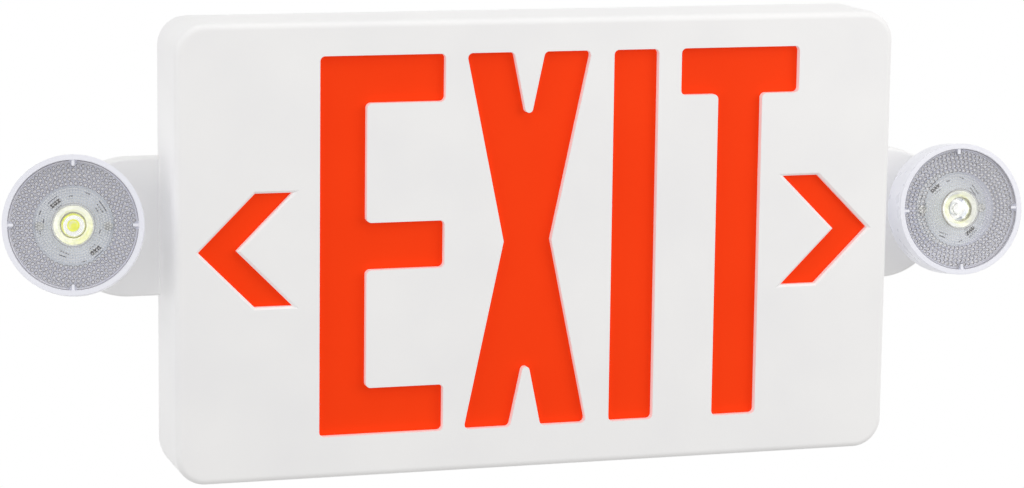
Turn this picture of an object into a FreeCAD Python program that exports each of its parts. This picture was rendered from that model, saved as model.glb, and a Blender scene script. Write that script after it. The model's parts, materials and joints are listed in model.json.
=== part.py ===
"""Wall-mounted emergency exit light: a stencil sign case with a lamp head on an arm at each side.

Millimetres. X runs along the sign, +Y into the wall, +Z up. The origin is on the back face, which lies on the
wall, at the centre of the case. Each lamp is drawn about its ball's centre with its axis along +Z, and is then
turned by its tilt and its pan and set on its arm.
"""
import FreeCAD, Part
import math
import os
import PartDesign, Sketcher

V = FreeCAD.Vector
doc = FreeCAD.newDocument("exit_light")
sheet = doc.addObject("Spreadsheet::Sheet", "Sizes")


class Size:
    """A number together with the expression that binds a property to the sheet."""

    def __init__(self, value, text):
        self.value = float(value)
        self.text = text

    def __add__(self, other):
        other = as_size(other)
        return Size(self.value + other.value, f"({self.text} + {other.text})")

    def __radd__(self, other):
        return as_size(other) + self

    def __sub__(self, other):
        other = as_size(other)
        return Size(self.value - other.value, f"({self.text} - {other.text})")

    def __rsub__(self, other):
        return as_size(other) - self

    def __mul__(self, other):
        other = as_size(other)
        return Size(self.value * other.value, f"({self.text} * {other.text})")

    def __rmul__(self, other):
        return as_size(other) * self

    def __truediv__(self, other):
        other = as_size(other)
        return Size(self.value / other.value, f"({self.text} / {other.text})")

    def __neg__(self):
        return Size(-self.value, f"(0 - {self.text})")


def as_size(number):
    return number if isinstance(number, Size) else Size(number, repr(float(number)))


def cell(alias, value):
    """Write one driving dimension into the sheet and hand back its size."""
    cell.row += 1
    sheet.set(f"A{cell.row}", alias)
    sheet.set(f"B{cell.row}", str(value))
    sheet.setAlias(f"B{cell.row}", alias)
    return Size(value, f"Sizes.{alias}")


cell.row = 0

# --- the case ---------------------------------------------------------------------------------------------
cover_width = cell("cover_width", 300)
cover_height = cell("cover_height", 183)
sign_depth = cell("sign_depth", 40)
corner_radius = cell("corner_radius", 12)
face_edge_radius = cell("face_edge_radius", 2.6)
cover_wall = cell("cover_wall", 2.5)
face_thickness = cell("face_thickness", 3.0)
housing_depth = cell("housing_depth", 7)
housing_inset = cell("housing_inset", 0.5)
housing_back = cell("housing_back", 2.5)
housing_edge_radius = cell("housing_edge_radius", 2)
lip_height = cell("lip_height", 4)
lip_thickness = cell("lip_thickness", 2)
lip_clearance = cell("lip_clearance", 0.15)
seat_gap = cell("seat_gap", 0.05)
overcut = cell("overcut", 1)

# --- the legend: letters six inches high, cut with a stroke of an eighth of that ---------------------------
letter_height = cell("letter_height", 152.4)
letter_stroke = cell("letter_stroke", 19.05)
letter_width = cell("letter_width", 51.1)
legend_rise = cell("legend_rise", 1.7)
gap_before_cross = cell("gap_before_cross", 8.65)
gap_after_cross = cell("gap_after_cross", 9.5)
gap_before_last = cell("gap_before_last", 9.7)
legend_shift = cell("legend_shift", 8.24)
letter_corner_radius = cell("letter_corner_radius", 2)
cross_top_width = cell("cross_top_width", 52.1)
cross_waist_width = cell("cross_waist_width", 20)
cross_notch_width = cell("cross_notch_width", 12.9)
cross_notch_radius = cell("cross_notch_radius", 1.6)
chevron_gap = cell("chevron_gap", 10.6)
chevron_rise = cell("chevron_rise", 22.7)
chevron_band = cell("chevron_band", 15.4)
chevron_bevel = cell("chevron_bevel", 0.9)

# --- what is behind the face ------------------------------------------------------------------------------
panel_side_gap = cell("panel_side_gap", 3)
panel_end_gap = cell("panel_end_gap", 9.8)
panel_thickness = cell("panel_thickness", 2)
panel_corner_radius = cell("panel_corner_radius", 14)
light_box_inset = cell("light_box_inset", 0.5)
light_box_depth = cell("light_box_depth", 12)
light_box_wall = cell("light_box_wall", 1.5)
strip_end_gap = cell("strip_end_gap", 16.5)
strip_width = cell("strip_width", 10)
strip_thickness = cell("strip_thickness", 1)
strip_spread = cell("strip_spread", 39)
sign_led_width = cell("sign_led_width", 3.5)
sign_led_height = cell("sign_led_height", 0.9)
STRIP_LEDS = 12

# --- screws, posts and holes ------------------------------------------------------------------------------
post_inset_x = cell("post_inset_x", 9.5)
post_inset_z = cell("post_inset_z", 9.5)
standoff_inset_x = cell("standoff_inset_x", 18)
standoff_inset_z = cell("standoff_inset_z", 21)
post_radius = cell("post_radius", 3.6)
case_screw_radius = cell("case_screw_radius", 1.45)
case_screw_head_radius = cell("case_screw_head_radius", 2.8)
case_screw_head_height = cell("case_screw_head_height", 1.8)
case_screw_length = cell("case_screw_length", 16)
small_screw_radius = cell("small_screw_radius", 1.2)
small_screw_head_radius = cell("small_screw_head_radius", 2.3)
small_screw_head_height = cell("small_screw_head_height", 1.5)
small_screw_bite = cell("small_screw_bite", 5)
standoff_radius = cell("standoff_radius", 3)
hole_clearance = cell("hole_clearance", 0.2)
wire_entry_radius = cell("wire_entry_radius", 11.1)
box_screw_hole_radius = cell("box_screw_hole_radius", 2.4)
round_box_spacing = cell("round_box_spacing", 88.9)
switch_box_spacing = cell("switch_box_spacing", 83.3)
keyhole_spread = cell("keyhole_spread", 210)
keyhole_rise = cell("keyhole_rise", 40)
keyhole_radius = cell("keyhole_radius", 4.2)
keyhole_slot_width = cell("keyhole_slot_width", 4.6)
keyhole_slot_reach = cell("keyhole_slot_reach", 9)

# --- battery ----------------------------------------------------------------------------------------------
battery_cell_radius = cell("battery_cell_radius", 7.2)
battery_length = cell("battery_length", 50)
battery_side_gap = cell("battery_side_gap", 34.5)
battery_floor_gap = cell("battery_floor_gap", 27.4)
strap_width = cell("strap_width", 12)
strap_thickness = cell("strap_thickness", 1.2)
strap_foot = cell("strap_foot", 9)
BATTERY_CELLS = 3

# --- control board ----------------------------------------------------------------------------------------
board_width = cell("board_width", 98)
board_height = cell("board_height", 52)
board_thickness = cell("board_thickness", 1.6)
board_standoff = cell("board_standoff", 4.5)
board_side_gap = cell("board_side_gap", 25.5)
board_floor_gap = cell("board_floor_gap", 15)
board_hole_inset = cell("board_hole_inset", 4)
transformer_x = cell("transformer_x", 71)
transformer_z = cell("transformer_z", 30)
core_width = cell("core_width", 28)
core_height = cell("core_height", 23)
core_depth = cell("core_depth", 8)
winding_width = cell("winding_width", 20)
winding_height = cell("winding_height", 30)
winding_depth = cell("winding_depth", 11)
capacitor_radius = cell("capacitor_radius", 4)
capacitor_height = cell("capacitor_height", 11)
capacitor_x = cell("capacitor_x", 33)
capacitor_z = cell("capacitor_z", 38)
capacitor_gap = cell("capacitor_gap", 2)
CAPACITORS = 2
terminal_x = cell("terminal_x", 17)
terminal_z = cell("terminal_z", 40)
terminal_width = cell("terminal_width", 20)
terminal_height = cell("terminal_height", 10)
terminal_depth = cell("terminal_depth", 9)
terminal_wire_radius = cell("terminal_wire_radius", 1.6)
fuse_radius = cell("fuse_radius", 2.6)
fuse_length = cell("fuse_length", 15)
fuse_x = cell("fuse_x", 9)
fuse_z = cell("fuse_z", 22)

# --- test button, its switch and the status light, in the underside ----------------------------------------
button_inset = cell("button_inset", 36)
button_y = cell("button_y", -14)
button_radius = cell("button_radius", 3.5)
button_proud = cell("button_proud", 1.6)
button_travel = cell("button_travel", 1.5)
button_clearance = cell("button_clearance", 0.1)
button_flange_radius = cell("button_flange_radius", 4.7)
button_flange_thickness = cell("button_flange_thickness", 1.2)
button_stem_radius = cell("button_stem_radius", 1.5)
switch_width = cell("switch_width", 7)
switch_depth = cell("switch_depth", 6)
switch_height = cell("switch_height", 7)
switch_drop = cell("switch_drop", 2)
plunger_radius = cell("plunger_radius", 1.6)
plunger_reach = cell("plunger_reach", 3.4)
plunger_engagement = cell("plunger_engagement", 2.6)
plunger_spare = cell("plunger_spare", 0.5)
spring_radius = cell("spring_radius", 2.6)
spring_wire_radius = cell("spring_wire_radius", 0.3)
SPRING_TURNS = 4
status_spacing = cell("status_spacing", 18)
status_pipe_radius = cell("status_pipe_radius", 1.6)
status_pipe_proud = cell("status_pipe_proud", 0.5)
status_led_size = cell("status_led_size", 5)
status_led_rise = cell("status_led_rise", 1)
status_stop_thickness = cell("status_stop_thickness", 1)
status_stop_reach = cell("status_stop_reach", 1)
lip_gap_margin = cell("lip_gap_margin", 2)

# --- arms -------------------------------------------------------------------------------------------------
left_arm_height = cell("left_arm_height", 7.25)
right_arm_height = cell("right_arm_height", 1.9)
arm_half_height = cell("arm_half_height", 27.9)
arm_nose = cell("arm_nose", 23.1)
arm_wall = cell("arm_wall", 2)
arm_edge_radius = cell("arm_edge_radius", 1.2)
arm_wall_gap = cell("arm_wall_gap", 0.4)
arm_boss_radius = cell("arm_boss_radius", 9)
arm_boss_thickness = cell("arm_boss_thickness", 3.5)
arm_boss_bevel = cell("arm_boss_bevel", 0.8)
arm_rib = cell("arm_rib", 1.5)
wire_channel_width = cell("wire_channel_width", 2.6)
tongue_half_height = cell("tongue_half_height", 12)
tongue_thickness = cell("tongue_thickness", 3.6)
tongue_length = cell("tongue_length", 13)
tongue_clearance = cell("tongue_clearance", 0.2)
arm_screw_spread = cell("arm_screw_spread", 14)
arm_screw_bite = cell("arm_screw_bite", 1.5)
arm_pilot_depth = cell("arm_pilot_depth", 1.75)

# --- ball swivel ------------------------------------------------------------------------------------------
ball_rise = cell("ball_rise", 2.4)
lamp_case_gap = cell("lamp_case_gap", 7.7)
ball_stand_off = cell("ball_stand_off", 8.5)
ball_radius = cell("ball_radius", 5.6)
neck_radius = cell("neck_radius", 2.4)
wire_bore_radius = cell("wire_bore_radius", 1.2)
collar_radius = cell("collar_radius", 4.6)
collar_thickness = cell("collar_thickness", 1)
nut_across_flats = cell("nut_across_flats", 8)
nut_thickness = cell("nut_thickness", 2.2)
nut_room_radius = cell("nut_room_radius", 5.6)
stud_end_proud = cell("stud_end_proud", 0.4)
swivel_clearance = cell("swivel_clearance", 0.06)
liner_thickness = cell("liner_thickness", 0.84)
liner_latitude = cell("liner_latitude", 20)
socket_wall = cell("socket_wall", 1.5)
socket_depth = cell("socket_depth", 2.6)

# --- lamp head --------------------------------------------------------------------------------------------
lamp_radius = cell("lamp_radius", 27.4)
lamp_rim_width = cell("lamp_rim_width", 2.1)
lens_ledge = cell("lens_ledge", 0.8)
lamp_back = cell("lamp_back", 1)
lamp_floor = cell("lamp_floor", 2.5)
lamp_rim = cell("lamp_rim", 21)
lamp_corner_radius = cell("lamp_corner_radius", 8)
rim_proud = cell("rim_proud", 0.4)
lens_clearance = cell("lens_clearance", 0.1)
lens_thickness = cell("lens_thickness", 1.8)
lens_key_width = cell("lens_key_width", 1.2)
lens_key_reach = cell("lens_key_reach", 2.2)
collimator_radius = cell("collimator_radius", 8.15)
collimator_tip_radius = cell("collimator_tip_radius", 4.2)
collimator_depth = cell("collimator_depth", 6.2)
collimator_pit_radius = cell("collimator_pit_radius", 4.9)
collimator_pit_depth = cell("collimator_pit_depth", 1.6)
collimator_cup_radius = cell("collimator_cup_radius", 2.7)
collimator_cup_depth = cell("collimator_cup_depth", 3.6)
lamp_board_radius = cell("lamp_board_radius", 16)
lamp_board_thickness = cell("lamp_board_thickness", 1.6)
lamp_led_width = cell("lamp_led_width", 3.5)
lamp_led_base = cell("lamp_led_base", 0.7)
lamp_led_dome_radius = cell("lamp_led_dome_radius", 1.4)
lamp_led_dome_height = cell("lamp_led_dome_height", 0.7)
lamp_led_gap = cell("lamp_led_gap", 0.4)
lamp_post_radius = cell("lamp_post_radius", 2.2)
lamp_post_inset = cell("lamp_post_inset", 2.6)
LAMP_POSTS = 2
lamp_screw_radius = cell("lamp_screw_radius", 0.9)
lamp_screw_head_radius = cell("lamp_screw_head_radius", 1.7)
lamp_screw_head_height = cell("lamp_screw_head_height", 1)
lamp_screw_bite = cell("lamp_screw_bite", 4)
retainer_flange = cell("retainer_flange", 1.8)
retainer_wall = cell("retainer_wall", 1.04)
retainer_rise = cell("retainer_rise", 1)
retainer_screw_bite = cell("retainer_screw_bite", 2)
RETAINER_SCREWS = 2

# how each lamp is turned: pan about the vertical, positive towards +X, and tilt, positive upwards
left_pan = cell("left_pan", -12)
right_pan = cell("right_pan", -1)
left_tilt = cell("left_tilt", 12)
right_tilt = cell("right_tilt", 8)
doc.recompute()

ALONG = {"+Z": ((1, 0, 0), 0), "-Z": ((1, 0, 0), 180), "+Y": ((1, 0, 0), -90), "-Y": ((1, 0, 0), 90),
         "+X": ((0, 1, 0), 90), "-X": ((0, 1, 0), -90)}
SIDES = {"left": -1, "right": 1}
nodes = {}


# --- helpers ----------------------------------------------------------------------------------------------
def bind(thing, prop, size):
    thing.setExpression(prop, as_size(size).text)


def vector_text(point):
    x, y, z = (as_size(number).text for number in point)
    return f"create(<<vector>>; {x}; {y}; {z})"


def turn_text(axis, angle):
    return f"create(<<rotation>>; {vector_text(axis)}; {as_size(angle).text})"


def put(thing, point, *turns):
    """Place a thing at a point, after the turns given as (axis, angle), the last one made first."""
    rotation = " * ".join(turn_text(*turn) for turn in turns or [((0, 0, 1), 0)])
    thing.setExpression("Placement", f"create(<<placement>>; {vector_text(point)}; {rotation})")
    return thing


def node(name, thing):
    """Give a finished sub-part the name of its file."""
    thing.Label = name
    nodes[name] = thing
    return thing


def box(x, y, z):
    """A block between two values on each axis."""
    block = doc.addObject("Part::Box", "Block")
    for prop, (low, high) in (("Length", x), ("Width", y), ("Height", z)):
        bind(block, prop, as_size(high) - low)
    return put(block, (x[0], y[0], z[0]))


def rod(start, along, length, radius):
    """A round bar from a point along one axis, such as "-Y"."""
    bar = doc.addObject("Part::Cylinder", "Bar")
    bind(bar, "Radius", radius)
    bind(bar, "Height", length)
    return put(bar, start, ALONG[along])


def hexagon(start, along, length, across_flats):
    bar = doc.addObject("Part::Prism", "Hex")
    bar.Polygon = 6
    bind(bar, "Circumradius", as_size(across_flats) / math.sqrt(3))
    bind(bar, "Height", length)
    return put(bar, start, ALONG[along])


def fuse(*shapes):
    joined = doc.addObject("Part::MultiFuse", "Joined")
    joined.Shapes = list(shapes)
    joined.Refine = True
    return joined


def cut(base, *tools):
    piece = doc.addObject("Part::Cut", "Piece")
    piece.Base = base
    piece.Tool = tools[0] if len(tools) == 1 else fuse(*tools)
    piece.Refine = True
    return piece


def group(shapes):
    """Several like solids in one sub-part."""
    bundle = doc.addObject("Part::Compound", "Group")
    bundle.Links = list(shapes)
    return bundle


def screw(start, along, shank_length, shank_radius, head_height, head_radius):
    """A pan-head screw whose head sits on the point given; its shank runs along the axis given."""
    opposite = {"+": "-", "-": "+"}[along[0]] + along[1]
    shank = rod(start, along, shank_length, shank_radius)
    head = rod(start, opposite, head_height, head_radius)
    return fuse(shank, head)


def new_body(name):
    return doc.addObject("PartDesign::Body", name)


def sketch_on(body, role, offset=0):
    """A sketch on one of the body's own planes, moved along that plane's normal."""
    drawing = body.newObject("Sketcher::SketchObject", "Outline")
    plane = next(feature for feature in body.Origin.OriginFeatures if feature.Role == role)
    drawing.AttachmentSupport = [(plane, "")]
    drawing.MapMode = "FlatFace"
    bind(drawing, "AttachmentOffset.Base.z", offset)
    return drawing


def bind_point(drawing, geometry, point, place):
    """Fix one point of a sketch's element at a place bound to the sheet."""
    for kind, number in zip(("DistanceX", "DistanceY"), place):
        size = as_size(number)
        rule = drawing.addConstraint(Sketcher.Constraint(kind, -1, 1, geometry, point, size.value))
        drawing.setExpression(f"Constraints[{rule}]", size.text)


def polygon(drawing, points):
    """A closed outline whose every corner is bound to the sheet."""
    first = drawing.GeometryCount
    count = len(points)
    places = [V(as_size(x).value, as_size(y).value, 0) for x, y in points]
    for i in range(count):
        drawing.addGeometry(Part.LineSegment(places[i], places[(i + 1) % count]), False)
    for i in range(count):
        drawing.addConstraint(Sketcher.Constraint("Coincident", first + i, 2, first + (i + 1) % count, 1))
        bind_point(drawing, first + i, 1, points[i])


def circle(drawing, centre, radius):
    size = as_size(radius)
    place = V(as_size(centre[0]).value, as_size(centre[1]).value, 0)
    index = drawing.addGeometry(Part.Circle(place, V(0, 0, 1), size.value), False)
    bind_point(drawing, index, 3, centre)
    rule = drawing.addConstraint(Sketcher.Constraint("Radius", index, size.value))
    drawing.setExpression(f"Constraints[{rule}]", size.text)


def rectangle(drawing, x, z):
    polygon(drawing, [(x[0], z[0]), (x[1], z[0]), (x[1], z[1]), (x[0], z[1])])


def rounded_rectangle(drawing, x, z, radius):
    """A closed outline of four lines and four arcs that run smoothly into each other."""
    low_x, high_x, low_z, high_z = (as_size(value) for value in (*x, *z))
    centres = [(high_x - radius, low_z + radius), (high_x - radius, high_z - radius),
               (low_x + radius, high_z - radius), (low_x + radius, low_z + radius)]
    first = drawing.GeometryCount
    for i, centre in enumerate(centres):
        place = V(centre[0].value, centre[1].value, 0)
        start = math.pi / 2 * (i - 1)
        ring = Part.Circle(place, V(0, 0, 1), radius.value)
        drawing.addGeometry(Part.ArcOfCircle(ring, start, start + math.pi / 2), False)
    for i in range(4):
        ends = [drawing.Geometry[first + i].EndPoint, drawing.Geometry[first + (i + 1) % 4].StartPoint]
        drawing.addGeometry(Part.LineSegment(*ends), False)
    for i, centre in enumerate(centres):
        drawing.addConstraint(Sketcher.Constraint("Tangent", first + i, 2, first + 4 + i, 1))
        drawing.addConstraint(Sketcher.Constraint("Tangent", first + 4 + i, 2, first + (i + 1) % 4, 1))
        bind_point(drawing, first + i, 3, centre)
        rule = drawing.addConstraint(Sketcher.Constraint("Radius", first + i, radius.value))
        drawing.setExpression(f"Constraints[{rule}]", radius.text)


def feature(body, kind, drawing, length, ahead=True):
    """Add a Pad, or a Pocket that takes material away, ahead of the drawing's plane or behind it."""
    volume = body.Shape.Volume if body.Tip else 0
    step = body.newObject(f"PartDesign::{kind}", kind)
    step.Profile = drawing
    step.Reversed = ahead if kind == "Pocket" else not ahead
    bind(step, "Length", length)
    body.Tip = step
    doc.recompute()
    gain = body.Shape.Volume - volume
    if gain * (1 if kind == "Pad" else -1) < 1e-3:
        raise RuntimeError(f"{body.Name}: {step.Name} does nothing")
    return step


def revolve(body, drawing):
    """Turn a profile about its drawing's upright axis."""
    step = body.newObject("PartDesign::Revolution", "Turned")
    step.Profile = drawing
    step.ReferenceAxis = (drawing, ["V_Axis"])
    step.Angle = 360
    body.Tip = step
    doc.recompute()
    return step


def dress(body, kind, test, prop, size):
    """Round or bevel the edges of the body's last feature that pass a test."""
    base = body.Tip
    names = [f"Edge{i + 1}" for i, edge in enumerate(base.Shape.Edges) if test(edge)]
    if not names:
        raise RuntimeError(f"{body.Name}: no edge for a {kind}")
    step = body.newObject(f"PartDesign::{kind}", kind)
    step.Base = (base, names)
    bind(step, prop, size)
    body.Tip = step
    doc.recompute()
    return step


def runs_along_y(edge):
    ends = [vertex.Point for vertex in edge.Vertexes]
    return len(ends) == 2 and (ends[0] - ends[1]).cross(V(0, 1, 0)).Length < 1e-6


def near(point, places, reach=0.01):
    return any(math.hypot(point.x - as_size(x).value, point.z - as_size(z).value) < reach for x, z in places)


def uprights_at(places):
    """The edges that run straight through the face at the places given."""
    return lambda edge: runs_along_y(edge) and near(edge.Vertexes[0].Point, places)


def lies_at_y(edge, y):
    return all(abs(edge.valueAt(t).y - as_size(y).value) < 1e-6 for t in edge.ParameterRange)


def corners(x, z):
    """The four points at plus and minus x and z."""
    return [(sx * x, sz * z) for sx in (-1, 1) for sz in (-1, 1)]


# --- values that several pieces share ---------------------------------------------------------------------
front_y = -sign_depth
face_back_y = front_y + face_thickness
inner_half_width = cover_width / 2 - cover_wall
inner_half_height = cover_height / 2 - cover_wall
post_x = cover_width / 2 - post_inset_x
post_z = cover_height / 2 - post_inset_z
panel_front_y = face_back_y + seat_gap
light_box_front_y = panel_front_y + panel_thickness + seat_gap
light_box_floor_y = light_box_front_y + light_box_depth
light_box_back_y = light_box_floor_y + light_box_wall
floor_y = -housing_back
panel_half_width = inner_half_width - panel_side_gap
panel_half_height = inner_half_height - panel_end_gap
standoff_x = panel_half_width - standoff_inset_x
standoff_z = panel_half_height - standoff_inset_z
cover_floor_z = cover_wall - cover_height / 2
board_back_y = floor_y - board_standoff
board_front_y = board_back_y - board_thickness
board_left = inner_half_width - board_side_gap - board_width
board_bottom = cover_floor_z + board_floor_gap
battery_x = battery_side_gap + battery_length / 2 - inner_half_width
battery_z = cover_floor_z + battery_floor_gap + battery_cell_radius * BATTERY_CELLS
button_x = board_left + button_inset
status_x = button_x + status_spacing
arm_front_y = -housing_depth
arm_back_y = -arm_wall_gap
tongue_back_y = floor_y - seat_gap
tongue_front_y = tongue_back_y - tongue_thickness
ball_x = cover_width / 2 + lamp_case_gap + lamp_radius
ball_y = arm_front_y - ball_stand_off
arm_round_x = ball_x - arm_nose
arm_height = {"left": left_arm_height, "right": right_arm_height}
ball_height = {name: height + ball_rise for name, height in arm_height.items()}
liner_radius = ball_radius + swivel_clearance + liner_thickness
socket_radius = liner_radius + swivel_clearance
socket_outer_radius = socket_radius + socket_wall
lamp_floor_top = lamp_back + lamp_floor
lens_radius = lamp_radius - lamp_rim_width - lens_clearance
lens_front = lamp_rim - rim_proud
lens_back = lens_front - lens_thickness
collimator_tip = lens_front - collimator_depth - lens_thickness
lamp_board_front = collimator_tip - lamp_led_gap - lamp_led_base - lamp_led_dome_height
lamp_board_back = lamp_board_front - lamp_board_thickness
lamp_post_circle = lamp_board_radius - lamp_post_inset
retainer_dome_radius = socket_radius + retainer_wall
retainer_screw_circle = retainer_dome_radius + lamp_screw_head_radius
retainer_radius = retainer_screw_circle + lamp_screw_head_radius


# --- front cover ------------------------------------------------------------------------------------------
def letter_outlines():
    """The corners of E, X, I and T, from the left, with the two ends of the row centred on the case."""
    top = legend_rise + letter_height / 2
    bottom = legend_rise - letter_height / 2
    row = (letter_width * 2 + cross_top_width + letter_stroke
           + gap_before_cross + gap_after_cross + gap_before_last)
    left = legend_shift - row / 2
    arm = letter_width - letter_stroke
    e_left, e_stem, e_right = left, left + letter_stroke, left + letter_stroke + arm
    middle_top = legend_rise + letter_stroke / 2
    middle_bottom = legend_rise - letter_stroke / 2
    letter_e = [(e_left, bottom), (e_right, bottom), (e_right, bottom + letter_stroke),
                (e_stem, bottom + letter_stroke), (e_stem, middle_bottom), (e_right, middle_bottom),
                (e_right, middle_top), (e_stem, middle_top), (e_stem, top - letter_stroke),
                (e_right, top - letter_stroke), (e_right, top), (e_left, top)]
    cross = e_right + gap_before_cross + cross_top_width / 2
    slope = (cross_top_width - cross_waist_width) / letter_height
    notch = cross_notch_width / 2 / slope
    half_top, half_notch, half_waist = cross_top_width / 2, cross_notch_width / 2, cross_waist_width / 2
    letter_x = [(cross - half_top, bottom), (cross - half_notch, bottom), (cross, bottom + notch),
                (cross + half_notch, bottom), (cross + half_top, bottom), (cross + half_waist, legend_rise),
                (cross + half_top, top), (cross + half_notch, top), (cross, top - notch),
                (cross - half_notch, top), (cross - half_top, top), (cross - half_waist, legend_rise)]
    i_left = cross + half_top + gap_after_cross
    i_right = i_left + letter_stroke
    letter_i = [(i_left, bottom), (i_right, bottom), (i_right, top), (i_left, top)]
    t_left = i_right + gap_before_last
    t_right = t_left + letter_width
    stem_left = t_left + arm / 2
    stem_right = stem_left + letter_stroke
    letter_t = [(stem_left, bottom), (stem_right, bottom), (stem_right, top - letter_stroke),
                (t_right, top - letter_stroke), (t_right, top), (t_left, top),
                (t_left, top - letter_stroke), (stem_left, top - letter_stroke)]
    return letter_e, letter_x, letter_i, letter_t


def chevron_outline(side, letters_half_width):
    """An arrow head at 45 degrees that points away from the letters."""
    inner_end = letters_half_width + chevron_gap
    outer_end = inner_end + chevron_band
    inner, tip = inner_end + chevron_rise, outer_end + chevron_rise
    top, bottom = legend_rise + chevron_rise, legend_rise - chevron_rise
    points = [(tip, legend_rise), (outer_end, top), (inner_end, top),
              (inner, legend_rise), (inner_end, bottom), (outer_end, bottom)]
    return [(side * x, z) for x, z in points]


def front_cover():
    body = new_body("FrontCover")
    half_width, half_height = cover_width / 2, cover_height / 2
    outline = sketch_on(body, "XZ_Plane", housing_depth)
    rounded_rectangle(outline, (-half_width, half_width), (-half_height, half_height), corner_radius)
    feature(body, "Pad", outline, sign_depth - housing_depth)
    dress(body, "Fillet", lambda edge: lies_at_y(edge, front_y), "Radius", face_edge_radius)
    cavity = sketch_on(body, "XZ_Plane", housing_depth)
    rounded_rectangle(cavity, (-inner_half_width, inner_half_width), (-inner_half_height, inner_half_height),
                      corner_radius - cover_wall)
    feature(body, "Pocket", cavity, sign_depth - housing_depth - face_thickness)
    posts = sketch_on(body, "XZ_Plane", housing_depth + lip_clearance)
    for place in corners(post_x, post_z):
        circle(posts, place, post_radius)
    feature(body, "Pad", posts, sign_depth - housing_depth - lip_clearance - face_thickness / 2)
    pilots = sketch_on(body, "XZ_Plane", housing_depth + lip_clearance)
    for place in corners(post_x, post_z):
        circle(pilots, place, case_screw_radius)
    feature(body, "Pocket", pilots, case_screw_length)
    letters = letter_outlines()
    for letter in letters:
        outline = sketch_on(body, "XZ_Plane", sign_depth)
        polygon(outline, letter)
        feature(body, "Pocket", outline, face_thickness, ahead=False)
    letter_e, letter_x, letter_i, letter_t = letters
    notches = [letter_x[2], letter_x[8]]
    waists = [letter_x[5], letter_x[11]]
    points = [point for letter in letters for point in letter if point not in notches + waists]
    dress(body, "Fillet", uprights_at(points), "Radius", letter_corner_radius)
    dress(body, "Fillet", uprights_at(notches), "Radius", cross_notch_radius)
    for side in SIDES.values():
        chevron = chevron_outline(side, -letter_e[0][0])
        outline = sketch_on(body, "XZ_Plane", sign_depth)
        polygon(outline, chevron)
        feature(body, "Pocket", outline, face_thickness, ahead=False)
        dress(body, "Chamfer", lambda edge: lies_at_y(edge, front_y) and on_outline(edge, chevron), "Size",
              chevron_bevel)
    underside = sketch_on(body, "XY_Plane", -cover_height / 2)
    circle(underside, (button_x, button_y), button_radius + button_clearance)
    circle(underside, (status_x, button_y), status_pipe_radius + hole_clearance)
    feature(body, "Pocket", underside, cover_wall)
    return node("front_cover", body)


def on_outline(edge, points):
    """Whether an edge joins two corners of an outline."""
    return all(near(vertex.Point, points) for vertex in edge.Vertexes)


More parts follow.
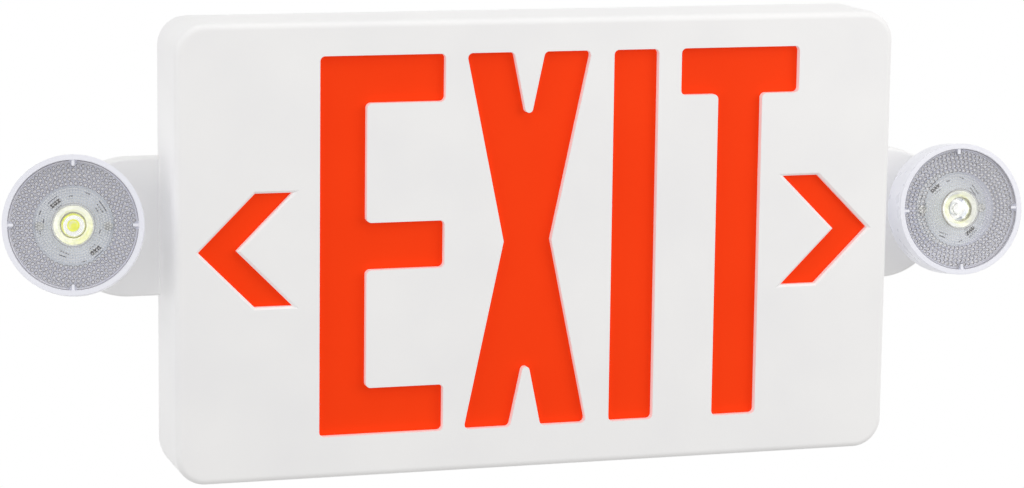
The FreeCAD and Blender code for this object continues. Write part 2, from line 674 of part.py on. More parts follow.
# --- back housing -----------------------------------------------------------------------------------------
def back_housing():
    body = new_body("BackHousing")
    half_width = cover_width / 2 - housing_inset
    half_height = cover_height / 2 - housing_inset
    outline = sketch_on(body, "XZ_Plane")
    rounded_rectangle(outline, (-half_width, half_width), (-half_height, half_height),
                      corner_radius - housing_inset)
    feature(body, "Pad", outline, housing_depth)
    dress(body, "Fillet", lambda edge: lies_at_y(edge, 0), "Radius", housing_edge_radius)
    lip_x = inner_half_width - lip_clearance
    lip_z = inner_half_height - lip_clearance
    lip_corner = corner_radius - cover_wall - lip_clearance
    lip = sketch_on(body, "XZ_Plane", housing_depth)
    rounded_rectangle(lip, (-lip_x, lip_x), (-lip_z, lip_z), lip_corner)
    feature(body, "Pad", lip, lip_height)
    room_x, room_z = lip_x - lip_thickness, lip_z - lip_thickness
    room = sketch_on(body, "XZ_Plane", housing_back)
    rounded_rectangle(room, (-room_x, room_x), (-room_z, room_z), lip_corner - lip_thickness)
    feature(body, "Pocket", room, housing_depth + lip_height - housing_back)
    # screw bosses, and standoffs for the light box, the control board, the battery strap
    bosses = sketch_on(body, "XZ_Plane", housing_back / 2)
    for place in corners(post_x, post_z):
        circle(bosses, place, post_radius)
    feature(body, "Pad", bosses, housing_depth - housing_back / 2 - lip_clearance)
    tall = sketch_on(body, "XZ_Plane", housing_back / 2)
    for place in corners(standoff_x, standoff_z):
        circle(tall, place, standoff_radius)
    feature(body, "Pad", tall, -light_box_back_y - seat_gap - housing_back / 2)
    low = sketch_on(body, "XZ_Plane", housing_back / 2)
    for place in board_screw_places():
        circle(low, place, standoff_radius)
    feature(body, "Pad", low, board_standoff + housing_back / 2)
    feet = sketch_on(body, "XZ_Plane", housing_back / 2)
    for place in strap_screw_places():
        circle(feet, place, standoff_radius)
    feature(body, "Pad", feet, board_standoff + housing_back / 2)
    pilots = sketch_on(body, "XZ_Plane", -light_box_back_y)
    for place in corners(standoff_x, standoff_z):
        circle(pilots, place, small_screw_radius)
    feature(body, "Pocket", pilots, small_screw_bite + light_box_wall, ahead=False)
    low_pilots = sketch_on(body, "XZ_Plane", housing_back + board_standoff)
    for place in board_screw_places() + strap_screw_places():
        circle(low_pilots, place, small_screw_radius)
    feature(body, "Pocket", low_pilots, small_screw_bite, ahead=False)
    # what passes through the back: case screws, box screws, the supply and two keyholes
    clear = sketch_on(body, "XZ_Plane")
    for place in corners(post_x, post_z):
        circle(clear, place, case_screw_radius + hole_clearance)
    feature(body, "Pocket", clear, housing_depth)
    recess = sketch_on(body, "XZ_Plane")
    for place in corners(post_x, post_z):
        circle(recess, place, case_screw_head_radius + hole_clearance)
    feature(body, "Pocket", recess, case_screw_head_height + housing_inset)
    through = sketch_on(body, "XZ_Plane")
    circle(through, (0, 0), wire_entry_radius)
    for side in SIDES.values():
        circle(through, (side * round_box_spacing / 2, 0), box_screw_hole_radius)
        circle(through, (0, side * switch_box_spacing / 2), box_screw_hole_radius)
        circle(through, (side * keyhole_spread / 2, keyhole_rise), keyhole_radius)
    feature(body, "Pocket", through, housing_back)
    slots = sketch_on(body, "XZ_Plane")
    for side in SIDES.values():
        slot_x = side * keyhole_spread / 2
        rectangle(slots, (slot_x - keyhole_slot_width / 2, slot_x + keyhole_slot_width / 2),
                  (keyhole_rise, keyhole_rise + keyhole_slot_reach))
    feature(body, "Pocket", slots, housing_back)
    # a gap in the lip for the button and the status light
    gap = sketch_on(body, "XZ_Plane", housing_depth)
    rectangle(gap, (button_x - button_flange_radius - lip_gap_margin, status_x + button_flange_radius),
              (-half_height, overcut - room_z))
    feature(body, "Pocket", gap, lip_height)
    # slots in the two side walls for the arms' tongues, and the pilot holes of their screws
    tongue_reach = tongue_half_height + tongue_clearance
    for name, side in SIDES.items():
        slot = sketch_on(body, "XZ_Plane", housing_back)
        height = arm_height[name]
        rectangle(slot, ordered(side, room_x - lip_thickness, half_width + lip_thickness),
                  (height - tongue_reach, height + tongue_reach))
        feature(body, "Pocket", slot, tongue_thickness + tongue_clearance)
    arm_pilots = sketch_on(body, "XZ_Plane", housing_back)
    for place in arm_screw_places("left") + arm_screw_places("right"):
        circle(arm_pilots, place, small_screw_radius)
    feature(body, "Pocket", arm_pilots, arm_pilot_depth, ahead=False)
    return node("back_housing", body)


def board_screw_places():
    return [(board_left + x, board_bottom + z) for x in (board_hole_inset, board_width - board_hole_inset)
            for z in (board_hole_inset, board_height - board_hole_inset)]


def strap_screw_places():
    spread = battery_cell_radius * BATTERY_CELLS + strap_thickness + strap_foot / 2
    return [(battery_x, battery_z + side * spread) for side in (-1, 1)]


def arm_screw_places(name):
    x = SIDES[name] * (inner_half_width - lip_thickness - tongue_length / 2 + lip_clearance)
    return [(x, arm_height[name] + end * arm_screw_spread / 2) for end in (-1, 1)]


# --- face parts and light box -----------------------------------------------------------------------------
def rounded_plate(name, half_width, half_height, front, thickness):
    """A flat plate behind the face, with round corners; front is how far it stands off the wall."""
    body = new_body(name)
    outline = sketch_on(body, "XZ_Plane", front - thickness)
    rounded_rectangle(outline, (-half_width, half_width), (legend_rise - half_height, legend_rise + half_height),
                      panel_corner_radius)
    feature(body, "Pad", outline, thickness)
    return body


def red_panel():
    return node("red_panel", rounded_plate("RedPanel", panel_half_width, panel_half_height, -panel_front_y,
                                           panel_thickness))


def light_box():
    half_width = panel_half_width - light_box_inset
    half_height = panel_half_height - light_box_inset
    body = rounded_plate("LightBox", half_width, half_height, -light_box_front_y,
                         light_box_depth + light_box_wall)
    room_x, room_z = half_width - light_box_wall, half_height - light_box_wall
    room = sketch_on(body, "XZ_Plane", -light_box_front_y)
    rounded_rectangle(room, (-room_x, room_x), (legend_rise - room_z, legend_rise + room_z),
                      panel_corner_radius - light_box_wall)
    feature(body, "Pocket", room, light_box_depth, ahead=False)
    holes = sketch_on(body, "XZ_Plane", -light_box_floor_y)
    for place in corners(standoff_x, standoff_z):
        circle(holes, place, small_screw_radius + hole_clearance)
    feature(body, "Pocket", holes, light_box_wall, ahead=False)
    node("light_box", body)
    node("light_box_screws", group([
        screw((x, light_box_floor_y, z), "+Y", small_screw_bite + light_box_wall, small_screw_radius,
              small_screw_head_height, small_screw_head_radius)
        for x, z in corners(standoff_x, standoff_z)]))


def led_strip(name, height):
    """A narrow board on the light box's floor, with a row of LEDs that face the red panel."""
    strip_front = light_box_floor_y - strip_thickness
    strip_length = (panel_half_width - strip_end_gap) * 2
    node(f"{name}_led_strip", box((-strip_length / 2, strip_length / 2), (strip_front, light_box_floor_y),
                                  (height - strip_width / 2, height + strip_width / 2)))
    pitch = strip_length / STRIP_LEDS
    leds = []
    for i in range(STRIP_LEDS):
        x = pitch * (i + 0.5) - strip_length / 2
        leds.append(box((x - sign_led_width / 2, x + sign_led_width / 2),
                        (strip_front - sign_led_height, strip_front),
                        (height - sign_led_width / 2, height + sign_led_width / 2)))
    node(f"{name}_strip_leds", group(leds))


# --- battery ----------------------------------------------------------------------------------------------
def battery():
    back = floor_y - seat_gap
    centre_y = back - battery_cell_radius
    left = battery_x - battery_length / 2
    cells = []
    for i in range(BATTERY_CELLS):
        z = battery_z + battery_cell_radius * 2 * (i - (BATTERY_CELLS - 1) / 2)
        cells.append(rod((left, centre_y, z), "+X", battery_length, battery_cell_radius))
    web = battery_cell_radius * (BATTERY_CELLS - 1)
    half_cell = battery_cell_radius / 2
    fill = box((left, left + battery_length), (centre_y - half_cell, centre_y + half_cell),
               (battery_z - web, battery_z + web))
    node("battery_pack", fuse(fill, *cells))
    # a strap bent over the pack, with a foot screwed down above and below it
    half = battery_cell_radius * BATTERY_CELLS + seat_gap
    front = back - battery_cell_radius * 2 - seat_gap
    foot_back = floor_y - board_standoff
    x = (battery_x - strap_width / 2, battery_x + strap_width / 2)
    outer = box(x, (front - strap_thickness, foot_back),
                (battery_z - half - strap_thickness, battery_z + half + strap_thickness))
    inner = box((x[0] - overcut, x[1] + overcut), (front, foot_back + overcut),
                (battery_z - half, battery_z + half))
    foot_reach = half + strap_thickness + strap_foot
    feet = box(x, (foot_back - strap_thickness, foot_back), (battery_z - foot_reach, battery_z + foot_reach))
    holes = [rod((sx, foot_back + overcut, sz), "-Y", strap_thickness + overcut * 2,
                 small_screw_radius + hole_clearance) for sx, sz in strap_screw_places()]
    strap = cut(fuse(outer, feet), inner, *holes)
    node("battery_strap", strap)
    node("strap_screws", group([
        screw((sx, foot_back - strap_thickness, sz), "+Y", small_screw_bite + strap_thickness,
              small_screw_radius, small_screw_head_height, small_screw_head_radius)
        for sx, sz in strap_screw_places()]))


# --- control board ----------------------------------------------------------------------------------------
def on_board(place, width, height, depth):
    """A block on the front of the control board; its middle's place is from the board's lower left corner."""
    x, z = board_left + place[0], board_bottom + place[1]
    return box((x - width / 2, x + width / 2), (board_front_y - depth, board_front_y),
               (z - height / 2, z + height / 2))


def control_board():
    plate = box((board_left, board_left + board_width), (board_front_y, board_back_y),
                (board_bottom, board_bottom + board_height))
    holes = [rod((x, board_back_y + overcut, z), "-Y", board_thickness + overcut * 2,
                 small_screw_radius + hole_clearance) for x, z in board_screw_places()]
    node("control_board", cut(plate, *holes))
    node("board_screws", group([
        screw((x, board_front_y, z), "+Y", small_screw_bite + board_thickness, small_screw_radius,
              small_screw_head_height, small_screw_head_radius)
        for x, z in board_screw_places()]))
    place = (transformer_x, transformer_z)
    core = on_board(place, core_width, core_height, core_depth)
    node("transformer_winding", on_board(place, winding_width, winding_height, winding_depth))
    node("transformer_core", cut(core, on_board(place, winding_width, winding_height, winding_depth)))
    node("capacitors", group([
        rod((board_left + capacitor_x + i * (capacitor_radius * 2 + capacitor_gap), board_front_y,
             board_bottom + capacitor_z), "-Y", capacitor_height, capacitor_radius)
        for i in range(CAPACITORS)]))
    block = on_board((terminal_x, terminal_z), terminal_width, terminal_height, terminal_depth)
    pitch = terminal_width / 3
    ports = [rod((board_left + terminal_x + pitch * i, board_front_y - terminal_depth / 2,
                  board_bottom + terminal_z + terminal_height), "-Z", terminal_height * 1.2, terminal_wire_radius)
             for i in (-1, 0, 1)]
    node("terminal_block", cut(block, *ports))
    node("fuse", rod((board_left + fuse_x, board_front_y - fuse_radius, board_bottom + fuse_z), "+X", fuse_length,
                     fuse_radius))


# --- test button and status light -------------------------------------------------------------------------
def test_button():
    switch_bottom = board_bottom - switch_drop
    body = box((button_x - switch_width / 2, button_x + switch_width / 2),
               (button_y - switch_depth / 2, board_front_y), (switch_bottom, switch_bottom + switch_height))
    bore_depth = plunger_engagement + button_travel + plunger_spare
    bore = rod((button_x, button_y, switch_bottom - overcut), "+Z", bore_depth + overcut,
               plunger_radius + button_clearance)
    node("test_switch", cut(body, bore))
    plunger_bottom = switch_bottom - plunger_reach
    node("switch_plunger", rod((button_x, button_y, plunger_bottom), "+Z", plunger_reach + plunger_engagement,
                               plunger_radius))
    cap_bottom = -cover_height / 2 - button_proud
    flange_bottom = cover_floor_z + seat_gap
    flange_top = flange_bottom + button_flange_thickness
    cap = rod((button_x, button_y, cap_bottom), "+Z", flange_bottom - cap_bottom, button_radius)
    flange = rod((button_x, button_y, flange_bottom), "+Z", button_flange_thickness, button_flange_radius)
    stem = rod((button_x, button_y, flange_top), "+Z", plunger_bottom - flange_top, button_stem_radius)
    node("test_button", fuse(cap, flange, stem))
    # the return spring stands on the button's flange, under the switch
    turns = as_size(SPRING_TURNS)
    room = switch_bottom - flange_top
    coil = room - spring_wire_radius * 2 - seat_gap * 2
    body = new_body("ButtonSpring")
    wire = sketch_on(body, "XZ_Plane")
    circle(wire, (spring_radius, 0), spring_wire_radius)
    helix = body.newObject("PartDesign::AdditiveHelix", "Coil")
    helix.Profile = wire
    helix.ReferenceAxis = (wire, ["V_Axis"])
    helix.Mode = 0
    bind(helix, "Pitch", coil / turns)
    bind(helix, "Height", coil)
    body.Tip = helix
    put(body, (button_x, button_y, flange_top + seat_gap + spring_wire_radius))
    doc.recompute()
    node("button_spring", body)
    led_bottom = switch_bottom + status_led_rise
    node("status_led", box((status_x - status_led_size / 2, status_x + status_led_size / 2),
                           (button_y - status_led_size / 2, board_front_y),
                           (led_bottom, led_bottom + status_led_size)))
    pipe_bottom = -cover_height / 2 - status_pipe_proud
    pipe = rod((status_x, button_y, pipe_bottom), "+Z", led_bottom - seat_gap - pipe_bottom, status_pipe_radius)
    stop = rod((status_x, button_y, cover_floor_z + seat_gap), "+Z", status_stop_thickness,
               status_pipe_radius + status_stop_reach)
    node("status_light_pipe", fuse(pipe, stop))


# --- arms -------------------------------------------------------------------------------------------------
def ordered(side, low, high):
    """A span on X at the right side, or its mirror image at the left."""
    return (low, high) if side > 0 else (-high, -low)


def d_outline(drawing, side, middle, wall_x, half_height):
    """A flat top and bottom from the case, closed by half a circle."""
    low, high = middle - half_height, middle + half_height
    points = [(side * wall_x, low), (side * arm_round_x, low), (side * arm_round_x, high), (side * wall_x, high)]
    places = [V(x.value, z.value, 0) for x, z in points]
    for start, end in ((3, 0), (0, 1), (2, 3)):
        drawing.addGeometry(Part.LineSegment(places[start], places[end]), False)
    ring = Part.Circle(V(side * arm_round_x.value, middle.value, 0), V(0, 0, 1), half_height.value)
    turn = -math.pi / 2 * side
    drawing.addGeometry(Part.ArcOfCircle(ring, turn, turn + math.pi), False)
    arc_start, arc_end = (1, 2) if side > 0 else (2, 1)
    for first, second in (((0, 2), (1, 1)), ((0, 1), (2, 2)), ((1, 2), (3, arc_start)), ((2, 1), (3, arc_end))):
        drawing.addConstraint(Sketcher.Constraint("Coincident", *first, *second))
    for place, point in zip(((1, 1), (1, 2), (2, 1), (2, 2)), points):
        bind_point(drawing, *place, point)
    rule = drawing.addConstraint(Sketcher.Constraint("DistanceX", -1, 1, 3, 3, side * arm_round_x.value))
    drawing.setExpression(f"Constraints[{rule}]", (side * arm_round_x).text)


def lamp_arm(name, side):
    """A thin plate hollow from behind, with ribs, a boss for the ball stud and a tongue into the case."""
    wall_x = cover_width / 2 - housing_inset + seat_gap
    middle = arm_height[name]
    depth = housing_depth - arm_wall_gap
    body = new_body(f"{name.title()}Arm")
    outline = sketch_on(body, "XZ_Plane", arm_wall_gap)
    d_outline(outline, side, middle, wall_x, arm_half_height)
    feature(body, "Pad", outline, depth)
    dress(body, "Fillet", lambda edge: lies_at_y(edge, arm_front_y) and edge.BoundBox.XLength > 0.01, "Radius",
          arm_edge_radius)
    hollow = sketch_on(body, "XZ_Plane", arm_wall_gap)
    d_outline(hollow, side, middle, wall_x + arm_wall, arm_half_height - arm_wall)
    feature(body, "Pocket", hollow, depth - arm_wall)
    stud_x, stud_z = side * ball_x, ball_height[name]
    boss_back = arm_front_y + arm_boss_thickness
    boss = rod((stud_x, arm_back_y, stud_z), "-Y", depth - arm_boss_bevel, arm_boss_radius)
    bevel = doc.addObject("Part::Cone", "Bevel")
    bind(bevel, "Radius1", arm_boss_radius)
    bind(bevel, "Radius2", arm_boss_radius - arm_boss_bevel)
    bind(bevel, "Height", arm_boss_bevel)
    put(bevel, (stud_x, arm_front_y + arm_boss_bevel, stud_z), ALONG["-Y"])
    ribs = []
    for place in (-1, 0, 1):
        rib_z = middle + place * arm_half_height / 2
        ribs.append(box(ordered(side, wall_x + arm_wall / 2, ball_x - arm_boss_radius / 2),
                        (arm_front_y + arm_wall / 2, arm_back_y), (rib_z - arm_rib / 2, rib_z + arm_rib / 2)))
    tongue_root = cover_width / 2 - cover_wall - lip_thickness - tongue_length
    tongue = box(ordered(side, tongue_root, wall_x + arm_wall), (tongue_front_y, tongue_back_y),
                 (middle - tongue_half_height, middle + tongue_half_height))
    solid = fuse(body, boss, bevel, tongue, *ribs)
    bore = rod((stud_x, overcut, stud_z), "-Y", housing_depth + overcut * 2, neck_radius + seat_gap)
    seat = rod((stud_x, arm_front_y + collar_thickness, stud_z), "-Y", collar_thickness + overcut,
               collar_radius + seat_gap)
    nut_room = rod((stud_x, overcut, stud_z), "-Y", overcut - boss_back, nut_room_radius)
    channel = box(ordered(side, tongue_root - overcut, ball_x), (boss_back, overcut),
                  (stud_z - wire_channel_width / 2, stud_z + wire_channel_width / 2))
    holes = [rod((x, 0, z), "-Y", housing_depth, small_screw_radius + hole_clearance)
             for x, z in arm_screw_places(name)]
    node(f"{name}_lamp_arm", cut(solid, bore, seat, nut_room, channel, *holes))
    return [screw((x, tongue_front_y, z), "+Y", tongue_thickness + seat_gap + arm_screw_bite,
                  small_screw_radius, small_screw_head_height, small_screw_head_radius)
            for x, z in arm_screw_places(name)]


def ball_stud(name, side):
    """The hollow stud that carries the lamp: a ball, a neck, a collar let into the arm, and a nut behind."""
    stud_z = ball_height[name]
    centre = (side * ball_x, ball_y, stud_z)
    ball = doc.addObject("Part::Sphere", "Ball")
    bind(ball, "Radius", ball_radius)
    put(ball, centre)
    boss_back = arm_front_y + arm_boss_thickness
    shank_end = boss_back + nut_thickness + stud_end_proud
    shank = rod(centre, "+Y", shank_end - ball_y, neck_radius)
    collar = rod((side * ball_x, arm_front_y, stud_z), "+Y", collar_thickness, collar_radius)
    bore = rod((side * ball_x, ball_y - ball_radius - overcut, stud_z), "+Y",
               shank_end - ball_y + ball_radius + overcut * 2, wire_bore_radius)
    node(f"{name}_ball_stud", cut(fuse(ball, shank, collar), bore))
    hexagonal = hexagon((side * ball_x, boss_back, stud_z), "+Y", nut_thickness, nut_across_flats)
    hole = rod((side * ball_x, boss_back - overcut, stud_z), "+Y", nut_thickness + overcut * 2, neck_radius)
    node(f"{name}_stud_nut", cut(hexagonal, hole))


# --- lamp head, drawn about the ball's centre with its axis along +Z ----------------------------------------
def zone(radius, low_latitude, high_latitude):
    ball = doc.addObject("Part::Sphere", "Zone")
    bind(ball, "Radius", radius)
    bind(ball, "Angle1", low_latitude)
    bind(ball, "Angle2", high_latitude)
    return ball


def around(count, radius):
    """Places evenly spaced on a circle about the lamp's axis."""
    angles = [math.tau / count * i for i in range(count)]
    return [(radius * math.cos(angle), radius * math.sin(angle)) for angle in angles]


def at_four_sides(low, high, half_width, z_span):
    """Four blocks from low to high along the lamp's two cross axes, both ways."""
    across = (-half_width, half_width)
    blocks = []
    for side in SIDES.values():
        along = ordered(side, low, high)
        blocks += [box(along, across, z_span), box(across, along, z_span)]
    return blocks


def lamp_shell():
    """A moulded bowl with the ball's seat in its floor and four keys that hold the lens."""
    body = new_body("Bowl")
    profile = sketch_on(body, "XZ_Plane")
    recess = lens_radius + lens_clearance
    inner = recess - lens_ledge
    polygon(profile, [(0, lamp_back), (lamp_radius, lamp_back), (lamp_radius, lamp_rim), (recess, lamp_rim),
                      (recess, lens_back), (inner, lens_back), (inner, lamp_floor_top), (0, lamp_floor_top)])
    revolve(body, profile)
    low_edge = lambda z, radius: lambda edge: (
        abs(edge.BoundBox.ZMax - z.value) < 1e-3 and edge.BoundBox.ZLength < 1e-3
        and abs(edge.BoundBox.XMax - radius.value) < 1e-3 and edge.Closed)
    dress(body, "Fillet", low_edge(lamp_back, lamp_radius), "Radius", lamp_corner_radius)
    dress(body, "Fillet", low_edge(lamp_floor_top, inner), "Radius", lamp_corner_radius - lamp_floor)
    seat_outer = zone(socket_outer_radius, -90, 0)
    seat_wall = rod((0, 0, 0), "+Z", lamp_back + lamp_floor / 2, socket_outer_radius)
    keys = at_four_sides(lens_radius - lens_key_reach, recess + lens_clearance, lens_key_width / 2,
                         (lens_back - lens_thickness, lens_front))
    post_foot = lamp_floor_top - lamp_floor / 2
    posts = [rod((x, y, post_foot), "+Z", lamp_board_back - seat_gap - post_foot, lamp_post_radius)
             for x, y in around(LAMP_POSTS, lamp_post_circle)]
    solid = fuse(body, seat_outer, seat_wall, *keys, *posts)
    ball_room = zone(socket_radius, -90, 90)
    bore = rod((0, 0, 0), "+Z", lamp_floor_top + overcut, socket_radius)
    mouth = rod((0, 0, -socket_depth), "-Z", socket_outer_radius, socket_outer_radius * 1.2)
    screw_holes = [rod((x, y, lamp_floor_top), "-Z", retainer_screw_bite, lamp_screw_radius)
                   for x, y in around(RETAINER_SCREWS, retainer_screw_circle)]
    post_holes = [rod((x, y, lamp_board_back), "-Z", lamp_screw_bite, lamp_screw_radius)
                  for x, y in around(LAMP_POSTS, lamp_post_circle)]
    return cut(solid, ball_room, bore, mouth, *screw_holes, *post_holes)


def swivel_liner():
    belt = zone(liner_radius, -liner_latitude, liner_latitude)
    hollow = zone(ball_radius + swivel_clearance, -90, 90)
    return cut(belt, hollow)


def ball_retainer():
    """The cap that is screwed down inside the bowl and holds the ball in its seat."""
    bottom = lamp_floor_top + seat_gap
    flange = rod((0, 0, bottom), "+Z", retainer_flange, retainer_radius)
    dome = rod((0, 0, bottom), "+Z", socket_radius + retainer_rise - bottom, retainer_dome_radius)
    hollow = zone(socket_radius, -90, 90)
    hole = rod((0, 0, 0), "+Z", lamp_rim, ball_radius / 2)
    screw_holes = [rod((x, y, 0), "+Z", lamp_rim, lamp_screw_radius + seat_gap)
                   for x, y in around(RETAINER_SCREWS, retainer_screw_circle)]
    return cut(fuse(flange, dome), hollow, hole, *screw_holes)


def retainer_screws():
    top = lamp_floor_top + seat_gap + retainer_flange
    return group([screw((x, y, top), "-Z", retainer_flange + seat_gap + retainer_screw_bite, lamp_screw_radius,
                        lamp_screw_head_height, lamp_screw_head_radius)
                  for x, y in around(RETAINER_SCREWS, retainer_screw_circle)])


def lamp_board():
    disc = rod((0, 0, lamp_board_back), "+Z", lamp_board_thickness, lamp_board_radius)
    holes = [rod((x, y, 0), "+Z", lamp_rim, lamp_screw_radius + seat_gap)
             for x, y in around(LAMP_POSTS, lamp_post_circle)]
    return cut(disc, *holes)


def lamp_board_screws():
    return group([screw((x, y, lamp_board_front), "-Z", lamp_board_thickness + lamp_screw_bite, lamp_screw_radius,
                        lamp_screw_head_height, lamp_screw_head_radius)
                  for x, y in around(LAMP_POSTS, lamp_post_circle)])


def lamp_led():
    half = lamp_led_width / 2
    return group([box((-half, half), (-half, half), (lamp_board_front, lamp_board_front + lamp_led_base))])


def lamp_led_dome():
    """The phosphor under its dome, on top of the LED's package."""
    middle = doc.addObject("Part::Ellipsoid", "Dome")
    bind(middle, "Radius1", lamp_led_dome_height)
    bind(middle, "Radius2", lamp_led_dome_radius)
    bind(middle, "Radius3", lamp_led_dome_radius)
    middle.Angle1 = 0
    put(middle, (0, 0, lamp_board_front + lamp_led_base))
    return group([middle])


def lamp_lens():
    """A clear disc with the collimator moulded on its back, and four notches for the shell's keys."""
    body = new_body("Lens")
    profile = sketch_on(body, "XZ_Plane")
    pit_floor = lens_front - collimator_pit_depth
    cup_top = collimator_tip + collimator_cup_depth
    polygon(profile, [(0, cup_top), (collimator_cup_radius * 0.8, cup_top), (collimator_cup_radius, collimator_tip),
                      (collimator_tip_radius, collimator_tip), (collimator_radius, lens_back),
                      (lens_radius, lens_back), (lens_radius, lens_front), (collimator_pit_radius, lens_front),
                      (collimator_pit_radius * 0.9, pit_floor), (0, pit_floor + collimator_pit_depth / 4)])
    revolve(body, profile)
    notches = at_four_sides(lens_radius - lens_key_reach - lens_clearance, lens_radius + overcut,
                            lens_key_width / 2 + lens_clearance, (0, lamp_rim))
    return cut(body, *notches)


def lamp_head(name, side, pan, tilt):
    centre = (side * ball_x, ball_y, ball_height[name])
    pieces = {"shell": lamp_shell, "ball_retainer": ball_retainer, "retainer_screws": retainer_screws,
              "board": lamp_board, "board_screws": lamp_board_screws, "led": lamp_led, "led_dome": lamp_led_dome,
              "lens": lamp_lens}
    for piece, make in pieces.items():
        node(f"{name}_lamp_{piece}", put(make(), centre, ((0, 0, 1), pan), ((1, 0, 0), 90 - tilt)))
    node(f"{name}_swivel_liner", put(swivel_liner(), centre, ((0, 0, 1), pan), ((1, 0, 0), 90)))


# --- build, check and write -------------------------------------------------------------------------------
front_cover()
back_housing()
red_panel()
light_box()
led_strip("upper", legend_rise + strip_spread)
led_strip("lower", legend_rise - strip_spread)
battery()
control_board()
test_button()
arm_screws = []
for side_name, side_sign in SIDES.items():
    arm_screws += lamp_arm(side_name, side_sign)
    ball_stud(side_name, side_sign)
node("arm_screws", group(arm_screws))
lamp_head("left", -1, left_pan, left_tilt)
lamp_head("right", 1, right_pan, right_tilt)
case_screw_y = -(case_screw_head_height + housing_inset)
node("case_screws", group([
    screw((x, case_screw_y, z), "-Y", case_screw_length + housing_depth + lip_clearance + case_screw_y,
          case_screw_radius, case_screw_head_height, case_screw_head_radius)
    for x, z in corners(post_x, post_z)]))
doc.recompute()

for thing in doc.Objects:
    if any(state in ("Invalid", "Error") for state in thing.State):
        raise RuntimeError(f"{thing.Name} ({thing.Label}) failed: {thing.State}")
for name, thing in nodes.items():
    if thing.Shape.isNull() or not thing.Shape.isValid() or not thing.Shape.Solids:
        raise RuntimeError(f"{name} has no valid solid")

os.makedirs("parts", exist_ok=True)
for name, thing in nodes.items():
    thing.Shape.exportStep(f"parts/{name}.step")
    print(f"{name}: {len(thing.Shape.Solids)} solids, {thing.Shape.Volume / 1000:.2f} cm3")
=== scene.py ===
import json
import math
import bpy
import bmesh
from mathutils import Matrix, Vector


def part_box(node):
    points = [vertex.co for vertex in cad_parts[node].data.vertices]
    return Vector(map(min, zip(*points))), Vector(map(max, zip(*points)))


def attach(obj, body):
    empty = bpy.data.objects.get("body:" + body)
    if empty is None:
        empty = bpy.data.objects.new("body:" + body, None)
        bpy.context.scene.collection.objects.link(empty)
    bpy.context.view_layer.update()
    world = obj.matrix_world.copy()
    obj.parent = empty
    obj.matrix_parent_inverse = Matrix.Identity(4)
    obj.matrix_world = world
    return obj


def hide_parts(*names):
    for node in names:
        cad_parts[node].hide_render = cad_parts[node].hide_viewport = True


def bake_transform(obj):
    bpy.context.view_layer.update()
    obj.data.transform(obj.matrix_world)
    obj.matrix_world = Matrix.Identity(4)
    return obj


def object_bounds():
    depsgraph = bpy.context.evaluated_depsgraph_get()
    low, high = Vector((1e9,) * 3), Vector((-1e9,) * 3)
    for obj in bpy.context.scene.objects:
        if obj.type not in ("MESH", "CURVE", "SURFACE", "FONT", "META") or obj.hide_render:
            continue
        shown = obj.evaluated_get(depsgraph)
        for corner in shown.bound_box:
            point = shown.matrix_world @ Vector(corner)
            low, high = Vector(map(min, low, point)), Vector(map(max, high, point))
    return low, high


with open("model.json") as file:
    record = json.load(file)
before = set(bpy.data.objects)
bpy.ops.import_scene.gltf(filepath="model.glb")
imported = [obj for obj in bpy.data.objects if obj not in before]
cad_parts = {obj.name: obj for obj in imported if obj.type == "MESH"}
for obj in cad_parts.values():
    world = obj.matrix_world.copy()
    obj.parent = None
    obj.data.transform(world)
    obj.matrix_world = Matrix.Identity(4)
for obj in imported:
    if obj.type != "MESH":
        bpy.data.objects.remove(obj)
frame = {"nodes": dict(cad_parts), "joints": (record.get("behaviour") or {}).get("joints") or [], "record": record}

MM = 0.001
SIDES = ("left", "right")
nodes = frame["nodes"]
joints = {joint["name"]: joint for joint in frame["joints"]}
cad_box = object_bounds()


# --- colours and nodes --------------------------------------------------------------------------------------
def colour(code):
    """A colour written as sRGB hex, turned linear."""
    channels = [int(code[i:i + 2], 16) / 255 for i in (1, 3, 5)]
    linear = [c / 12.92 if c <= 0.04045 else ((c + 0.055) / 1.055) ** 2.4 for c in channels]
    return (*linear, 1.0)


def add(tree, kind, inputs=None, **settings):
    """Add a node. Each input, by name or number, is a value, another node's socket, or a node's first socket."""
    item = tree.nodes.new(kind)
    for name, value in settings.items():
        setattr(item, name, value)
    for key, value in (inputs or {}).items():
        if isinstance(value, bpy.types.Node):
            value = value.outputs[0]
        if isinstance(value, bpy.types.NodeSocket):
            tree.links.new(value, item.inputs[key])
        else:
            item.inputs[key].default_value = value
    return item


def new_material(name):
    """A material with an empty tree."""
    made = bpy.data.materials.new(name)
    made.use_nodes = True
    made.node_tree.nodes.clear()
    return made, made.node_tree


# noise seldom leaves this range, so it is what gets spread over the limits
NOISE_RANGE = (0.3, 0.7)


def varied(tree, place, size, detail, low, high):
    """A value that drifts between two limits over the surface, by patches of the size given."""
    field = add(tree, "ShaderNodeTexNoise", {"Vector": place, "Scale": 1 / size, "Detail": detail})
    return add(tree, "ShaderNodeMapRange", {"Value": field, "From Min": NOISE_RANGE[0], "To Min": low,
                                            "From Max": NOISE_RANGE[1], "To Max": high})


def raised(tree, place, size, detail, depth, under=None):
    """A surface raised by noise of the size and depth given, over the one under it."""
    field = add(tree, "ShaderNodeTexNoise", {"Vector": place, "Scale": 1 / size, "Detail": detail})
    below = {"Normal": under} if under else {}
    return add(tree, "ShaderNodeBump", {"Height": field, "Distance": depth, "Strength": 1.0, **below})


def painted_glow(code, strength):
    """What a shader needs for a painted glow: light given off by a part that is no lamp."""
    return {"Emission Color": colour(code), "Emission Strength": strength}


